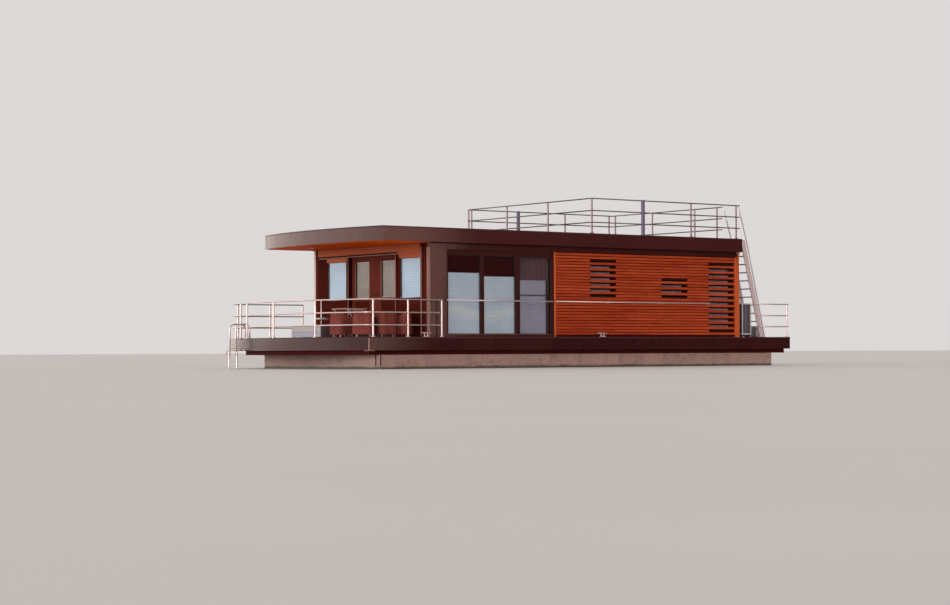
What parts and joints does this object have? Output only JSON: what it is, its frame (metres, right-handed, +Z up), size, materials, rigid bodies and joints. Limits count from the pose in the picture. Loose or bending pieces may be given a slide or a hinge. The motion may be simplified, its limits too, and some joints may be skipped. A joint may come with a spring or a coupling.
{
  "type": "houseboat",
  "caption": "Flat-roofed houseboat on a concrete pontoon, with a curved foredeck, railings, timber-clad cabin, roof terrace, stern stair and folding swim ladder.",
  "frame": {"origin": "middle of the pontoon's flat bottom", "axes": "+X aft towards the stern, +Y to starboard, +Z up"},
  "size_m": [15.9488, 7.16, 5.3083],
  "materials": {
    "concrete": "weathered cast concrete with a water stain",
    "dark_panel": "satin anthracite cladding panel",
    "timber": "oiled larch slats",
    "deck_boards": "grooved decking boards",
    "frame_metal": "dark powder coat",
    "door_wood": "varnished reddish-brown timber",
    "glass": "clear window glass",
    "rail_metal": "satin stainless tube",
    "aluminium": "bare extrusion",
    "white_plastic": "off-white",
    "inner_panel": "pale lining",
    "wicker": "woven strand",
    "fan_plastic": "moulded"
  },
  "bodies": {
    "boat": {"pontoon": "concrete", "deck_frame": "frame_metal", "deck_platform": "deck_boards", "deck_fascia": "dark_panel", "roof_slab": "dark_panel", "roof_fascia": "dark_panel", "wall_port_front": "dark_panel", "window_frame_port": "frame_metal", "window_glass_port_1": "glass", "window_glass_port_2": "glass", "window_glass_port_3": "glass", "wall_port_aft": "frame_metal", "timber_cladding_port": "timber", "louvre_glass_port_1": "glass", "louvre_glass_port_2": "glass", "louvre_glass_port_3": "glass", "wall_starboard": "dark_panel", "window_glass_starboard_1": "glass", "window_glass_starboard_2": "glass", "wall_front": "door_wood", "front_window_glass_port": "glass", "front_window_glass_starboard": "glass", "wall_aft": "dark_panel", "cabin_floor": "inner_panel", "corner_column": "rail_metal", "deck_rail_bow": "rail_metal", "deck_rail_starboard": "rail_metal", "deck_rail_stern": "rail_metal", "roof_rail_port": "rail_metal", "roof_rail_starboard": "rail_metal", "roof_rail_bow": "rail_metal", "roof_rail_stern": "rail_metal", "roof_stair": "aluminium", "stair_handrail_port": "aluminium", "stair_handrail_starboard": "aluminium", "wall_handrail_fore": "rail_metal", "wall_handrail_aft": "rail_metal", "swim_ladder": "rail_metal", "cleat_port_fore": "rail_metal", "cleat_port_aft": "rail_metal", "cleat_starboard_fore": "rail_metal", "cleat_starboard_aft": "rail_metal", "heat_pump": "white_plastic", "stern_box": "inner_panel", "deck_box": "white_plastic", "terrace_table": "white_plastic", "side_table": "white_plastic", "terrace_chair_1": "wicker", "terrace_chair_2": "wicker", "terrace_chair_3": "wicker", "terrace_chair_4": "wicker"},
    "front_door_port_leaf": {"front_door_port": "door_wood", "front_door_port_glass": "glass"},
    "front_door_starboard_leaf": {"front_door_starboard": "door_wood", "front_door_starboard_glass": "glass"},
    "aft_door_leaf": {"aft_door": "dark_panel"},
    "side_door_leaf": {"side_door": "door_wood"},
    "ladder_lower": {"swim_ladder_lower": "rail_metal"},
    "fan": {"heat_pump_fan": "fan_plastic"},
    "box_lid": {"deck_box_lid": "white_plastic"}
  },
  "joints": [
    {"name": "front_door_port_hinge", "type": "hinge", "parent": "boat", "child": "front_door_port_leaf", "pos_m": [-5.34, -1.292, 2.5], "axis": [0, 0, -1], "range_deg": [0, 95]},
    {"name": "front_door_starboard_hinge", "type": "hinge", "parent": "boat", "child": "front_door_starboard_leaf", "pos_m": [-5.34, 0.982, 2.5], "axis": [0, 0, 1], "range_deg": [0, 95]},
    {"name": "aft_door_hinge", "type": "hinge", "parent": "boat", "child": "aft_door_leaf", "pos_m": [5.58, 0.822, 2.5], "axis": [0, 0, -1], "range_deg": [0, 95]},
    {"name": "side_door_hinge", "type": "hinge", "parent": "boat", "child": "side_door_leaf", "pos_m": [1.272, 2.53, 2.5], "axis": [0, 0, 1], "range_deg": [0, 95]},
    {"name": "swim_ladder_fold", "type": "hinge", "parent": "boat", "child": "ladder_lower", "pos_m": [-8.17, 2.81, 0.98], "axis": [0, 1, 0], "range_deg": [0, 150]},
    {"name": "fan_spin", "type": "hinge", "parent": "boat", "child": "fan", "pos_m": [6.215, -2.45, 1.94], "axis": [1, 0, 0], "continuous": true},
    {"name": "deck_box_lid_hinge", "type": "hinge", "parent": "boat", "child": "box_lid", "pos_m": [-7.15, -0.08, 1.6953], "axis": [0, 1, 0], "range_deg": [0, 95]}
  ]
}
